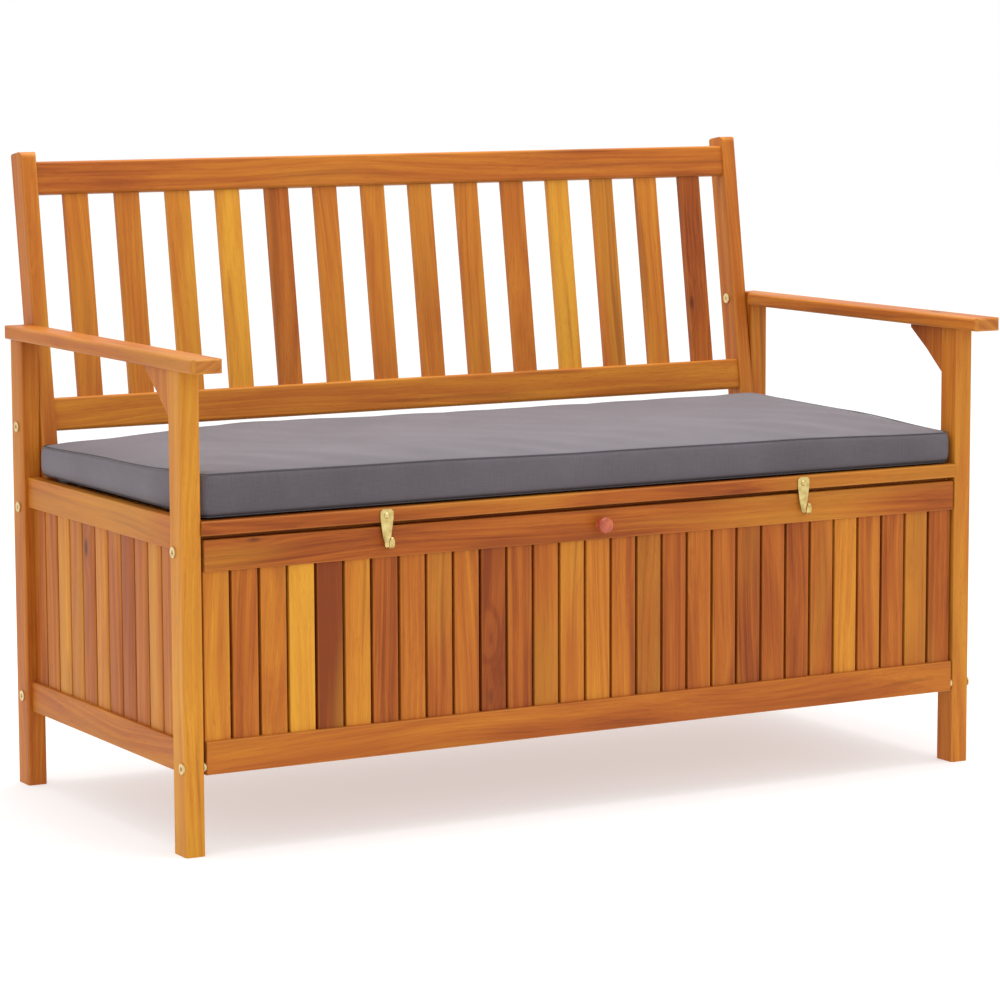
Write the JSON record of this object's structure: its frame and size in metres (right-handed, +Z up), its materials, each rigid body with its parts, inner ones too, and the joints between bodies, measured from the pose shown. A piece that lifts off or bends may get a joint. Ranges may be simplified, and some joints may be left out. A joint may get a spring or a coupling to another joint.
{
  "type": "garden storage bench",
  "caption": "Slatted hardwood garden bench with armrests, a leaning slatted back, a loose seat cushion and a storage box under the seat behind a drop-front door with turning catches.",
  "frame": {"origin": "on the floor under the middle of the whole bench", "axes": "+Z up, +X to the right seen from the front, the front faces -Y"},
  "size_m": [1.182, 0.6344, 0.834],
  "materials": {
    "wood_golden": "oiled hardwood, golden sapwood tone with brown streaks",
    "wood_amber": "oiled hardwood, amber brown",
    "wood_red": "oiled hardwood, reddish brown",
    "knob_wood": "turned and varnished, reddish",
    "brass": "satin plated",
    "bolt_metal": "satin plated",
    "cushion_fabric": "plain woven grey polyester over foam"
  },
  "bodies": {
    "bench": {"leg_front_left": "wood_golden", "leg_rear_left": "wood_golden", "back_post_left": "wood_golden", "armrest_left": "wood_amber", "side_rail_top_left": "wood_amber", "side_rail_bottom_left": "wood_amber", "side_slats_left": "wood_amber", "gusset_left": "wood_red", "catch_screw_left": "brass", "bolt_front_left": "bolt_metal", "bolts_rear_left": "bolt_metal", "pivot_bolt_left": "bolt_metal", "pivot_spacer_left": "bolt_metal", "leg_front_right": "wood_golden", "leg_rear_right": "wood_golden", "back_post_right": "wood_golden", "armrest_right": "wood_amber", "side_rail_top_right": "wood_amber", "side_rail_bottom_right": "wood_amber", "side_slats_right": "wood_amber", "gusset_right": "wood_red", "catch_screw_right": "brass", "bolt_front_right": "bolt_metal", "bolts_rear_right": "bolt_metal", "pivot_bolt_right": "bolt_metal", "pivot_spacer_right": "bolt_metal", "rear_rail_top": "wood_amber", "rear_rail_bottom": "wood_amber", "rear_slats": "wood_amber", "front_rail_top": "wood_amber", "front_rail_bottom": "wood_amber", "seat_front_board": "wood_amber", "seat_slats": "wood_amber", "floor_boards": "wood_amber", "back_rail_top": "wood_amber", "back_rail_bottom": "wood_amber", "seat_bearers": "wood_red", "floor_bearers": "wood_red", "back_slat_01": "wood_amber", "back_slat_02": "wood_golden", "back_slat_03": "wood_red", "back_slat_04": "wood_amber", "back_slat_05": "wood_golden", "back_slat_06": "wood_red", "back_slat_07": "wood_amber", "back_slat_08": "wood_golden", "back_slat_09": "wood_red", "back_slat_10": "wood_amber", "back_slat_11": "wood_golden", "back_slat_12": "wood_red", "back_slat_13": "wood_amber", "back_slat_14": "wood_golden"},
    "door": {"door_rail_top": "wood_red", "door_rail_bottom": "wood_amber", "door_slats": "wood_amber", "door_knob": "knob_wood"},
    "catch_left": {"catch_left": "brass"},
    "catch_right": {"catch_right": "brass"},
    "cushion": {"cushion": "cushion_fabric"}
  },
  "joints": [
    {"name": "door_hinge", "type": "hinge", "parent": "bench", "child": "door", "pos_m": [0, -0.25673, 0.109], "axis": [1, 0, 0], "range_deg": [0, 105]},
    {"name": "catch_left_turn", "type": "hinge", "parent": "bench", "child": "catch_left", "pos_m": [-0.309, -0.26773, 0.3995], "axis": [0, 1, 0], "range_deg": [-95, 95]},
    {"name": "catch_right_turn", "type": "hinge", "parent": "bench", "child": "catch_right", "pos_m": [0.309, -0.26773, 0.3995], "axis": [0, 1, 0], "range_deg": [-95, 95]},
    {"name": "cushion_lift", "type": "slide", "parent": "bench", "child": "cushion", "axis": [0, 0, 1], "range_m": [0, 0.22]}
  ]
}
